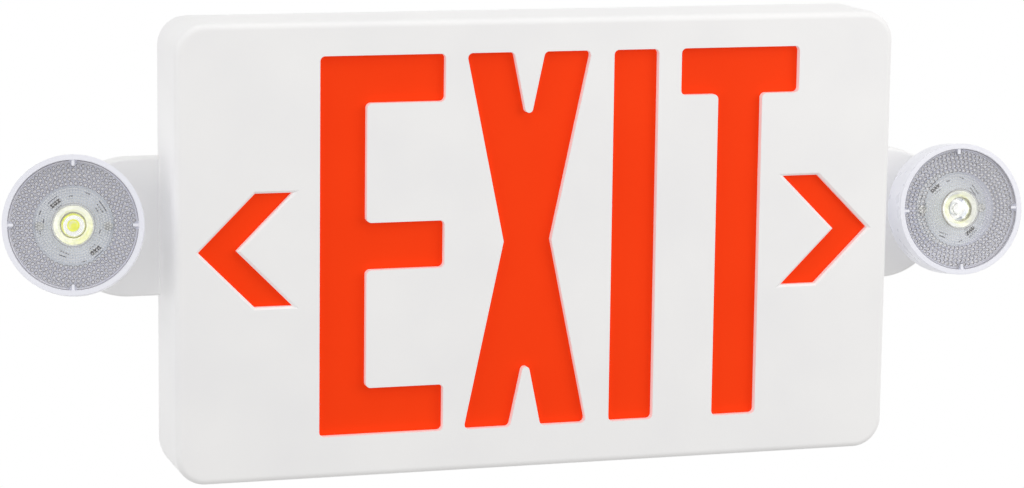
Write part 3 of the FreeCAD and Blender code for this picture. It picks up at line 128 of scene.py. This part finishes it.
# --- kinds of material --------------------------------------------------------------------------------------
def moulded(name, light, dark, roughness, grain=0.35 * MM, relief=0.012 * MM, wave=0.05 * MM, edge=0.25 * MM,
            **shader):
    """Moulded plastic: a spark-eroded grain over faint sink waves, with edges softly broken by the mould."""
    made, tree = new_material(name)
    place = add(tree, "ShaderNodeTexCoord").outputs["Object"]
    tint = add(tree, "ShaderNodeMix", {"Factor": varied(tree, place, 40 * MM, 2, 0, 1), 6: colour(light),
                                       7: colour(dark)}, data_type="RGBA")
    gloss = varied(tree, place, 6 * MM, 4, roughness - 0.05, roughness + 0.05)
    soft = add(tree, "ShaderNodeBevel", {"Radius": edge}, samples=4)
    waves = raised(tree, place, 30 * MM, 1, wave, soft)
    surface = raised(tree, place, grain, 2, relief, waves)
    plastic = add(tree, "ShaderNodeBsdfPrincipled", {"Base Color": tint.outputs[2], "Roughness": gloss,
                                                     "Normal": surface, **shader})
    add(tree, "ShaderNodeOutputMaterial", {"Surface": plastic})
    return made


def plated_steel(name, tone, roughness):
    """Zinc-plated or turned steel, with fine turning marks and patches of duller plating."""
    made, tree = new_material(name)
    place = add(tree, "ShaderNodeTexCoord").outputs["Object"]
    tint = add(tree, "ShaderNodeMix", {"Factor": varied(tree, place, 1.5 * MM, 3, 0, 1), 6: colour(tone),
                                       7: colour("#8F9190")}, data_type="RGBA")
    gloss = varied(tree, place, 0.6 * MM, 3, roughness - 0.08, roughness + 0.1)
    marks = raised(tree, place, 0.15 * MM, 2, 0.004 * MM)
    steel = add(tree, "ShaderNodeBsdfPrincipled", {"Base Color": tint.outputs[2], "Metallic": 1.0,
                                                   "Roughness": gloss, "Normal": marks})
    add(tree, "ShaderNodeOutputMaterial", {"Surface": steel})
    return made


POLYCARBONATE_IOR = 1.58


def clear_plastic(name, tone, roughness, **shader):
    """Clear plastic from a polished mould, very slightly waved."""
    made, tree = new_material(name)
    place = add(tree, "ShaderNodeTexCoord").outputs["Object"]
    clear = add(tree, "ShaderNodeBsdfPrincipled",
                {"Base Color": colour(tone), "Roughness": roughness, "IOR": POLYCARBONATE_IOR,
                 "Transmission Weight": 1.0, "Normal": raised(tree, place, 9 * MM, 1, 0.01 * MM), **shader})
    add(tree, "ShaderNodeOutputMaterial", {"Surface": clear})
    return made


def thin_clear(name, tone, roughness, cover):
    """A clear skin too thin to bend the view: it lets most of the light by and adds its own sheen."""
    made, tree = new_material(name)
    skin = add(tree, "ShaderNodeBsdfPrincipled", {"Base Color": colour(tone), "Roughness": roughness,
                                                  "IOR": POLYCARBONATE_IOR, "Alpha": cover})
    add(tree, "ShaderNodeOutputMaterial", {"Surface": skin})
    return made


# how far from the middle of the dome's foot the phosphor's yellow starts to fade, and where it is fully pale
CHIP_EDGE, CHIP_FADE = 0.85 * MM, 1.25 * MM


def phosphor_dome(name, centre):
    """Silicone dome over a yellow phosphor chip: it pales from the chip's edge to the dome's own rim, and gives
    off a painted glow in its own tint.
    """
    made, tree = new_material(name)
    place = add(tree, "ShaderNodeTexCoord").outputs["Object"]
    away = add(tree, "ShaderNodeVectorMath", {0: place, 1: centre}, operation="DISTANCE").outputs["Value"]
    rim = add(tree, "ShaderNodeMapRange", {"Value": away, "From Min": CHIP_EDGE, "From Max": CHIP_FADE})
    tint = add(tree, "ShaderNodeMix", {"Factor": rim, 6: colour("#F2F436"), 7: colour("#FBF9E4")},
               data_type="RGBA").outputs[2]
    dome = add(tree, "ShaderNodeBsdfPrincipled", {"Base Color": tint, "Roughness": 0.2, "Emission Color": tint,
                                                  "Emission Strength": 0.3})
    add(tree, "ShaderNodeOutputMaterial", {"Surface": dome})
    return made


# --- finishes -----------------------------------------------------------------------------------------------
# flame-retardant ABS of the case and arms, injection moulded against a fine spark-eroded face; a weak painted glow
# lifts the shade in their hollows a little
case_white = moulded("case_abs_white_painted_glow", "#F4F4F3", "#EFEFEF", 0.42, **painted_glow("#FAF9F8", 0.1))
# the same resin from the lamp heads' polished mould: smoother and a little cooler, with a weaker painted glow that
# lifts its shade
lamp_white = moulded("lamp_abs_white_painted_glow", "#EFF0F6", "#EBECF4", 0.3, relief=0.003 * MM, wave=0.004 * MM,
                     edge=0.3 * MM, **painted_glow("#F4F5FF", 0.08))
# cast acrylic diffuser, pigmented red, matt on its face; a faint painted glow brightens it
diffuser_red = moulded("diffuser_acrylic_red_painted_glow", "#FF4007", "#FC3D05", 0.5, grain=0.5 * MM, relief=0.02 * MM,
                       wave=0.02 * MM, **{"IOR": 1.49, "Specular IOR Level": 0.12}, **painted_glow("#FF3700", 0.11))
# vacuum-formed reflector sheet
reflector_white = moulded("reflector_white", "#F0F0EE", "#EAEAE8", 0.6)
# acetal bearing liner, as moulded
liner_white = moulded("liner_acetal", "#E9E8E1", "#E2E1DA", 0.35)
# metal-cored lamp board under a white solder mask
board_white = moulded("board_mask_white", "#E9EEF6", "#E0E7F2", 0.35, relief=0.003 * MM)
# glass-epoxy control board under a green solder mask
board_green = moulded("board_mask_green", "#1E6B3C", "#175C32", 0.3, relief=0.005 * MM)
# battery pack in heat-shrunk vinyl
battery_blue = moulded("battery_vinyl_blue", "#1F5FA8", "#1A5496", 0.25, relief=0.006 * MM)
# glass-filled nylon of the strap, the switch and the capacitors' sleeves
nylon_black = moulded("nylon_black", "#1B1B1D", "#141416", 0.5)
# polyamide of the terminal block
terminal_green = moulded("terminal_polyamide", "#2C8A50", "#257A45", 0.4)
# polyester tape round the transformer's windings
tape_yellow = moulded("winding_tape_yellow", "#D9B13A", "#C9A02C", 0.3, relief=0.006 * MM)
# red LED packages behind the legend
led_red = moulded("led_package_red", "#D8231B", "#C81E17", 0.25, relief=0.002 * MM)
# test button, moulded in red ABS
button_red = moulded("button_abs_red", "#C8181C", "#B91418", 0.35)

# steel laminations of the transformer's core, dipped in varnish
core_steel = plated_steel("core_laminations", "#55565A", 0.45)
# zinc-plated self-tapping screws and nuts
screw_zinc = plated_steel("screw_zinc", "#C9CBC8", 0.3)
# turned and nickel-plated ball stud
stud_nickel = plated_steel("stud_nickel", "#BFC1C6", 0.18)
# hard-drawn spring wire
spring_wire = plated_steel("spring_wire", "#A9ACB3", 0.25)
# solder on the lamp board's pads
solder = plated_steel("solder_bright", "#D6D9DE", 0.22)

# clear polycarbonate of the collimators, from a polished mould
lens_clear = clear_plastic("lens_polycarbonate", "#FBFDFF", 0.02)
# the collimator's side, tinted yellow as a painted reflection of the LED's yellow, and cream further out as a
# painted reflection of its white package; it is made part opaque so these show, and carries a weak painted glow
painted_colour_share = {"Transmission Weight": 0.6}
side_painted_yellow = clear_plastic("lens_polycarbonate_side_painted_reflection", "#FAFACB", 0.1, **painted_glow("#F1F2B8", 0.3), **painted_colour_share)
side_painted_cream = clear_plastic("lens_polycarbonate_flank_painted_reflection", "#FFFEF4", 0.15, **painted_glow("#F6F5EA", 0.3), **painted_colour_share)
# clear acrylic light pipe, and the fuse's glass tube
pipe_clear = clear_plastic("pipe_acrylic", "#F4F8F8", 0.06)
# the lens's flat sheet of the same polycarbonate, thin enough to see straight through
lens_sheet = thin_clear("lens_polycarbonate_sheet", "#F2F0F0", 0.04, 0.07)
# its rounded edges and steps, coloured grey as painted shade for the dark lines that they show
lens_edge_painted_shade = thin_clear("lens_polycarbonate_edge_painted_shade", "#B4B1B4", 0.1, 0.55)
# the crowns of its prisms, coloured white and part opaque as a painted highlight for the light they catch
lens_prism = thin_clear("lens_prism_crown_painted_highlight", "#FFFFFF", 0.08, 0.6)
# the steep feet of the prisms, coloured dark as painted shade for the dark of the bowl that they bend into view
prism_foot = thin_clear("lens_prism_foot_painted_shade", "#6B625D", 0.1, 0.72)

# ceramic package of the lamp's LED
package_white = moulded("led_ceramic_white", "#FAF8F6", "#F6F4F0", 0.35, relief=0.002 * MM)
# reflective white pad round that LED, with a painted glow that stands for stray light, though the LED gives none
led_pad = moulded("led_pad_white_painted_glow", "#FDFCFA", "#FAF9F5", 0.4, relief=0.001 * MM, **painted_glow("#FFFDF4", 0.3))
# black epoxy of the chips on the lamp's board
chip_black = moulded("chip_epoxy_black", "#26262B", "#1D1D22", 0.4, relief=0.002 * MM)
# printing ink of the plain marks on the lamp's board
ink_grey = moulded("board_ink_grey", "#5E616B", "#555862", 0.5, relief=0.001 * MM)

FINISHES = {
    "white_case": case_white, "red_diffuser": diffuser_red, "white_reflector": reflector_white,
    "zinc_steel": screw_zinc, "stud_steel": stud_nickel, "spring_steel": spring_wire, "white_board": board_white,
    "green_board": board_green, "battery_wrap": battery_blue, "black_plastic": nylon_black,
    "green_terminal": terminal_green, "core_steel": core_steel, "winding_tape": tape_yellow,
    "fuse_glass": pipe_clear, "led_package": package_white, "led_yellow": package_white, "led_red": led_red,
    "lens_clear": lens_clear, "clear_pipe": pipe_clear, "red_button": button_red, "white_acetal": liner_white,
}

for entry in frame["record"]["subparts"]:
    finish = lamp_white if entry["node"].endswith("_lamp_shell") else FINISHES[entry["material_slot"]]
    slots = nodes[entry["node"]].data.materials
    for index in range(len(slots)):
        slots[index] = finish


# --- meshes -------------------------------------------------------------------------------------------------
SHARP_ANGLE = math.radians(35)


def mesh_object(name, build, finishes, body=None):
    """Make an object from a bmesh, give it its finishes and let it ride on a CAD body, if one is named."""
    mesh = bpy.data.meshes.new(name)
    build.to_mesh(mesh)
    build.free()
    mesh.set_sharp_from_angle(angle=SHARP_ANGLE)
    for finish in finishes:
        mesh.materials.append(finish)
    item = bpy.data.objects.new(name, mesh)
    bpy.context.scene.collection.objects.link(item)
    if body:
        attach(item, body)
    return item


def turned(profile, steps, shape=None, ring=False, edges=()):
    """Turn a profile of (radius, height) about the axis; shape may pull a point's radius in at an angle.

    A ring's profile closes on itself, and any other starts and ends at the axis. The bands numbered in edges take
    the second finish.
    """
    build = bmesh.new()
    circles = []
    for radius, height in profile:
        circle = []
        for i in range(steps):
            angle = math.tau * i / steps
            out = shape(radius, angle) if shape else radius
            circle.append(build.verts.new((out * math.cos(angle), out * math.sin(angle), height)))
        circles.append(circle)
    following = circles[1:] + (circles[:1] if ring else [])
    for band, (lower, upper) in enumerate(zip(circles, following)):
        for i in range(steps):
            j = (i + 1) % steps
            face = build.faces.new((lower[i], lower[j], upper[j], upper[i]))
            face.material_index = int(band in edges)
    if not ring:
        build.faces.new(reversed(circles[0]))
        build.faces.new(circles[-1])
    return build


# --- lamps --------------------------------------------------------------------------------------------------
def middle(name):
    low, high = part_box(name)
    return (low + high) / 2


def lamp_axes(side):
    """The lamp's own axes at rest: the origin at the ball's centre, X along its tilt axis, Z out of the lens."""
    tilt = joints[f"{side}_lamp_tilt"]
    centre = Vector(tilt["pos_m"])
    forward = (middle(f"{side}_lamp_board") - centre).normalized()
    across = Vector(tilt["axis"]).normalized()
    turn = Matrix((across, forward.cross(across), forward)).transposed().to_4x4()
    return Matrix.Translation(centre) @ turn


def reach(name, axes):
    """How far a node reaches along the lamp's axis, low and high, and out from it."""
    inverse = axes.inverted()
    points = [inverse @ vertex.co for vertex in nodes[name].data.vertices]
    heights = [point.z for point in points]
    return min(heights), max(heights), max(math.hypot(point.x, point.y) for point in points)


LENS_STEPS = 192
SHEET_THICKNESS = 1.8 * MM
RIM_STEP = 0.3 * MM
KEYS = 4
NOTCH_HALF_WIDTH = 0.95 * MM
NOTCH_DEPTH = 2.45 * MM
COLLIMATOR_STEPS = 96
COLLIMATOR_RADIUS = 8.15 * MM
CUP_RADIUS, CUP_DEPTH, CUP_CROWN, CUP_ROWS = 2.7 * MM, 3.6 * MM, 0.55 * MM, 6
TIP_RADIUS, WALL_RADIUS = 3.5 * MM, 7.6 * MM
PIT_RADIUS, PIT_DEPTH, PIT_CROWN, PIT_ROWS = 4.9 * MM, 1.6 * MM, 0.5 * MM, 7
# the small hole left on the axis where a turned surface closes
AXIS_RADIUS = 0.01 * MM
# degrees off the axis at which the side leans at its flange, how much more at its tip, and how it passes over
WALL_LEAN, TIP_LEAN_MORE, LEAN_POWER, WALL_STEPS = 29.6, 11.6, 1.6, 12
# how far out the side starts to carry the painted reflection of the LED's yellow, and then of its white package
YELLOW_RADIUS, CREAM_RADIUS = 4.6 * MM, 6.3 * MM
# domes on the lens's back: first row's radius, rows, step between rows, step round a row, dome's radius and
# height, and its foot's finish: 1 for the dark of painted shade, 0 for the white of the crowns' painted highlight
FINE_DOMES = (8.9, 6, 1.08, 1.08, 0.32, 0.14, 0)
COARSE_DOMES = (16.35, 5, 1.73, 1.92, 0.84, 0.6, 1)
DOME_SIDES = 10
# degrees up a dome at which its rings lie
DOME_LEVELS = (0, 48, 68)


def lens_sheet_ring(front, back, radius):
    """The flat part of the lens: a sheet with a stepped rim and a notch for each of the shell's keys."""
    def notched(out, angle):
        off_key = radius * math.sin(math.remainder(angle, math.tau / KEYS))
        return min(out, radius - NOTCH_DEPTH) if abs(off_key) < NOTCH_HALF_WIDTH else out

    face, sunk = front - RIM_STEP, front - RIM_STEP * 1.6
    profile = [(COLLIMATOR_RADIUS, back), (radius - 0.15 * MM, back), (radius, back + 0.15 * MM),
               (radius, front - 0.35 * MM), (radius - 0.35 * MM, front), (radius - 0.8 * MM, front),
               (radius - 1.1 * MM, face), (radius - 1.6 * MM, face), (COLLIMATOR_RADIUS + 0.5 * MM, face),
               (COLLIMATOR_RADIUS + 0.2 * MM, sunk), (COLLIMATOR_RADIUS, sunk)]
    # the bands numbered here, the rounded edges and steps, take the grey of painted shade
    return turned(profile, LENS_STEPS, notched, ring=True, edges=(1, 2, 3, 5, 8))


def add_dome(build, x, y, z, base, height, foot):
    """A dome that hangs from a flat face, with its steep foot in the finish of the number given."""
    levels = []
    for lift in map(math.radians, DOME_LEVELS):
        out, down = base * math.cos(lift), height * math.sin(lift)
        levels.append([build.verts.new((x + out * math.cos(math.tau * i / DOME_SIDES),
                                        y + out * math.sin(math.tau * i / DOME_SIDES), z - down))
                       for i in range(DOME_SIDES)])
    for level, (lower, upper) in enumerate(zip(levels, levels[1:])):
        for i in range(DOME_SIDES):
            j = (i + 1) % DOME_SIDES
            face = build.faces.new((lower[i], lower[j], upper[j], upper[i]))
            face.material_index = 0 if level else foot
    top = build.verts.new((x, y, z - height))
    for i in range(DOME_SIDES):
        build.faces.new((levels[-1][i], levels[-1][(i + 1) % DOME_SIDES], top))


def prism_domes(back):
    """Rows of small domes on the back of the lens: fine ones over the board and coarse ones near the rim."""
    build = bmesh.new()
    for start, rows, step_out, step_round, base, height, foot in (FINE_DOMES, COARSE_DOMES):
        for row in range(rows):
            out = start + row * step_out
            count = round(math.tau * out / step_round)
            for i in range(count):
                angle = math.tau * (i + 0.5 * (row % 2)) / count
                add_dome(build, out * math.cos(angle) * MM, out * math.sin(angle) * MM, back, base * MM,
                         height * MM, foot)
    return build


def collimator(front, back, tip):
    """The clear collimator: from the top of its cup, down, out along its side and in over its front to the pit."""
    profile = []
    for i in range(CUP_ROWS):
        share = math.pi / 2 * i / CUP_ROWS
        profile.append((max(CUP_RADIUS * 0.8 * math.sin(share), AXIS_RADIUS),
                        tip + CUP_DEPTH - CUP_CROWN * math.cos(share)))
    profile += [(CUP_RADIUS * 0.86, tip + CUP_DEPTH), (CUP_RADIUS, tip), (TIP_RADIUS, tip)]
    slope = [math.tan(math.radians(WALL_LEAN + TIP_LEAN_MORE * (1 - (i + 0.5) / WALL_STEPS) ** LEAN_POWER))
             for i in range(WALL_STEPS)]
    out, height = TIP_RADIUS, tip
    for lean in slope:
        out += lean / sum(slope) * (WALL_RADIUS - TIP_RADIUS)
        height += (back - tip) / WALL_STEPS
        profile.append((out, height))
    profile += [(COLLIMATOR_RADIUS, back), (COLLIMATOR_RADIUS, front - 0.25 * MM),
                (COLLIMATOR_RADIUS - 0.12 * MM, front - 0.1 * MM), (COLLIMATOR_RADIUS - 0.3 * MM, front),
                (WALL_RADIUS + 0.2 * MM, front), (WALL_RADIUS + 0.05 * MM, front - 0.15 * MM),
                (PIT_RADIUS + 0.25 * MM, front - 0.15 * MM), (PIT_RADIUS, front - 0.3 * MM)]
    for i in range(PIT_ROWS):
        share = i / PIT_ROWS
        profile.append((max(PIT_RADIUS * 0.94 * (1 - share), AXIS_RADIUS),
                        front - PIT_DEPTH + PIT_CROWN * math.sin(math.pi / 2 * share)))
    build = turned(profile, COLLIMATOR_STEPS)
    # the side's faces take the painted reflection of the LED's yellow and, further out, of its package; the
    # front's rim and the pit's edge take the dark painted shade
    yellow, cream, edge = 1, 2, 3
    for face in build.faces:
        place = face.calc_center_median()
        out = math.hypot(place.x, place.y)
        if tip < place.z < back and out > YELLOW_RADIUS:
            face.material_index = yellow if out < CREAM_RADIUS else cream
        elif place.z > back and (out > COLLIMATOR_RADIUS - 0.1 * MM or abs(out - PIT_RADIUS) < 0.2 * MM):
            face.material_index = edge
    return build


# what lies on the lamp's board, in mm; a size is the width outward, the length across and the height
# chips, in rows of three: each row's angle and radius
CHIP_ROWS = ((129, 11.4), (-49, 12.6))
CHIP_SIZE, CHIP_SPACING = (1.5, 1.15, 0.5), 1.6
# the solder at both ends of a chip, and how far out from the chip's middle
SOLDER_SIZE, SOLDER_REACH = (0.4, 1.0, 0.35), 0.95
# strokes of ink on both sides of a row of chips: how far off it, and the length
ROW_STROKES = ((1.9, 4.6), (-1.9, 3.4))
# other strokes of ink: angle, radius and length
INK_STROKES = ((35, 13.6, 5.0), (35, 12.2, 4.2), (35, 10.9, 2.4), (-111, 10.9, 4.2), (-111, 12.4, 3.0),
               (158, 14.2, 1.8), (170, 12.0, 1.5), (-12, 10.2, 1.6), (-168, 13.4, 1.8), (68, 13.8, 2.0),
               (96, 11.8, 1.6), (-74, 14.2, 1.8))
ROW_INK_WIDTH, INK_WIDTH, INK_HEIGHT = 0.3, 0.4, 0.03
# the round pad under the LED
PAD_RADIUS, PAD_THICKNESS = 4.6 * MM, 0.04 * MM


def board_marks(front):
    """Chips with soldered ends, plain strokes of ink and the pad round the LED, on the lamp's board."""
    chips, solders, inks, pad = (bmesh.new() for _ in range(4))
    bmesh.ops.create_cone(pad, cap_ends=True, segments=48, radius1=PAD_RADIUS, radius2=PAD_RADIUS,
                          depth=PAD_THICKNESS, matrix=Matrix.Translation((0, 0, front + PAD_THICKNESS / 2)))

    def block(build, degrees, radius, size, shift=0.0):
        """A block that stands on the board at an angle and radius, shifted across."""
        width, length, height = (measure * MM for measure in size)
        place = (Matrix.Rotation(math.radians(degrees), 4, "Z")
                 @ Matrix.Translation((radius * MM, shift * MM, front + height / 2)))
        bmesh.ops.create_cube(build, size=1.0, matrix=place @ Matrix.Diagonal((width, length, height, 1)))

    for degrees, radius in CHIP_ROWS:
        for shift in (-CHIP_SPACING, 0.0, CHIP_SPACING):
            block(chips, degrees, radius, CHIP_SIZE, shift)
            for end in (-SOLDER_REACH, SOLDER_REACH):
                block(solders, degrees, radius + end, SOLDER_SIZE, shift)
        for off, length in ROW_STROKES:
            block(inks, degrees, radius + off, (ROW_INK_WIDTH, length, INK_HEIGHT))
    for degrees, radius, length in INK_STROKES:
        block(inks, degrees, radius, (INK_WIDTH, length, INK_HEIGHT))
    return chips, solders, inks, pad


def dress_lamp(side):
    """Give one lamp its phosphor, the parts on its board and its lens, which replaces the plain one."""
    axes = lamp_axes(side)
    dome_foot = reach(f"{side}_lamp_led_dome", axes)[0]
    dome = nodes[f"{side}_lamp_led_dome"].data.materials
    dome[0] = phosphor_dome(f"led_phosphor_painted_glow_{side}", axes @ Vector((0, 0, dome_foot)))
    tip, front, radius = reach(f"{side}_lamp_lens", axes)
    back = front - SHEET_THICKNESS
    chips, solders, inks, pad = board_marks(reach(f"{side}_lamp_led", axes)[0])
    pieces = (("lens_sheet", lens_sheet_ring(front, back, radius), (lens_sheet, lens_edge_painted_shade), "lens_clear"),
              ("lens_prisms", prism_domes(back), (lens_prism, prism_foot), "lens_clear"),
              ("collimator", collimator(front, back, tip), (lens_clear, side_painted_yellow, side_painted_cream, prism_foot),
               "lens_clear"),
              ("board_chips", chips, (chip_black,), "black_plastic"),
              ("board_solder", solders, (solder,), "zinc_steel"),
              ("board_ink", inks, (ink_grey,), "black_plastic"),
              ("board_pad", pad, (led_pad,), "led_package"))
    for piece, build, finishes, slot in pieces:
        build.transform(axes)
        bmesh.ops.recalc_face_normals(build, faces=build.faces)
        for face in build.faces:
            face.smooth = slot == "lens_clear" and len(face.verts) <= 4
        mesh_object(f"{side}_{piece}", build, finishes, f"{side}_lamp")
    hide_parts(f"{side}_lamp_lens")


for side in SIDES:
    dress_lamp(side)


# --- the button's return spring -----------------------------------------------------------------------------
def flexing_spring():
    """A copy of the spring in the wire's finish, which stands where the hidden one stood."""
    coil = bmesh.new()
    coil.from_mesh(nodes["button_spring"].data)
    spring = mesh_object("return_spring", coil, (spring_wire,))
    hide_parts("button_spring")
    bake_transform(spring)


flexing_spring()


# --- stage, light and camera --------------------------------------------------------------------------------
def white_when_seen(tree, pale, white):
    """Mix two shaders: the white one for rays from the camera and those that metal and glass send on."""
    path = add(tree, "ShaderNodeLightPath").outputs
    seen = path["Is Camera Ray"]
    for kind in ("Is Glossy Ray", "Is Transmission Ray"):
        seen = add(tree, "ShaderNodeMath", {0: seen, 1: path[kind]}, operation="MAXIMUM").outputs[0]
    return add(tree, "ShaderNodeMixShader", {"Fac": seen, 1: pale, 2: white})


FLOOR_HALF_SIZE = 3.0
# the light hangs above a door
FLOOR_DROP = 2.2


def make_floor():
    """A pale floor that the camera sees as plain white."""
    build = bmesh.new()
    height = cad_box[0].z - FLOOR_DROP
    build.faces.new([build.verts.new((x * FLOOR_HALF_SIZE, y * FLOOR_HALF_SIZE, height))
                     for x, y in ((-1, -1), (1, -1), (1, 1), (-1, 1))])
    mesh = bpy.data.meshes.new("floor")
    build.to_mesh(mesh)
    build.free()
    made, tree = new_material("floor_pale")
    pale = add(tree, "ShaderNodeBsdfDiffuse", {"Color": colour("#E8E8E6")})
    white = add(tree, "ShaderNodeEmission", {"Color": colour("#FFFFFF"), "Strength": 1.0})
    add(tree, "ShaderNodeOutputMaterial", {"Surface": white_when_seen(tree, pale, white)})
    mesh.materials.append(made)
    floor = bpy.data.objects.new("floor", mesh)
    bpy.context.scene.collection.objects.link(floor)


def make_world():
    """A soft room round the light, plain white where it is seen."""
    world = bpy.data.worlds.new("studio")
    world.use_nodes = True
    tree = world.node_tree
    tree.nodes.clear()
    sky = add(tree, "ShaderNodeBackground", {"Color": colour("#FBFAFA"), "Strength": 0.54})
    white = add(tree, "ShaderNodeBackground", {"Color": colour("#FFFFFF"), "Strength": 1.0})
    add(tree, "ShaderNodeOutputWorld", {"Surface": white_when_seen(tree, sky, white)})
    bpy.context.scene.world = world


def soft_light(name, place, aim, size, power, tone):
    """A square light that faces the point it is aimed at."""
    lamp = bpy.data.lights.new(name, "AREA")
    lamp.shape = "SQUARE"
    lamp.size = size
    lamp.energy = power
    lamp.color = colour(tone)[:3]
    item = bpy.data.objects.new(name, lamp)
    item.location = place
    item.rotation_euler = (Vector(aim) - Vector(place)).to_track_quat("-Z", "Y").to_euler()
    bpy.context.scene.collection.objects.link(item)


def make_camera():
    """A view turned to the left of the sign's face and a little above it, through a long lens."""
    target = Vector((-17.88, -40.0, 7.17)) * MM
    turn, rise, roll = math.radians(17.019), math.radians(9.41), math.radians(0.691)
    distance = 1343.87 * MM
    back = Vector((-math.sin(turn) * math.cos(rise), -math.cos(turn) * math.cos(rise), math.sin(rise)))
    right = (-back).cross(Vector((0, 0, 1))).normalized()
    up = right.cross(-back)
    rolled_right = right * math.cos(roll) + up * math.sin(roll)
    rolled_up = up * math.cos(roll) - right * math.sin(roll)
    lens = bpy.data.cameras.new("camera")
    lens.sensor_width = 36
    lens.lens = 118.03
    lens.shift_x = 0.0110
    lens.shift_y = -0.0154
    item = bpy.data.objects.new("camera", lens)
    item.matrix_world = (Matrix.Translation(target + back * distance)
                         @ Matrix((rolled_right, rolled_up, back)).transposed().to_4x4())
    bpy.context.scene.collection.objects.link(item)
    bpy.context.scene.camera = item


make_floor()
make_world()
soft_light("key", (0.9, -0.9, 0.5), (0.1, 0, 0), 0.9, 5.6, "#FFFDFC")
soft_light("fill", (-1.4, -0.5, 0.2), (-0.15, 0, 0), 1.0, 5.2, "#FCFCFF")
soft_light("overhead", (0.0, -0.5, 1.3), (0, 0, 0), 1.0, 3.6, "#FFFFFF")
make_camera()
# white plastic in a white room: light is followed until little of it is left
paths = bpy.context.scene.cycles
paths.max_bounces = 16
paths.diffuse_bounces = 10
paths.transmission_bounces = 14
paths.transparent_max_bounces = 16
bpy.context.scene.view_settings.view_transform = "Standard"
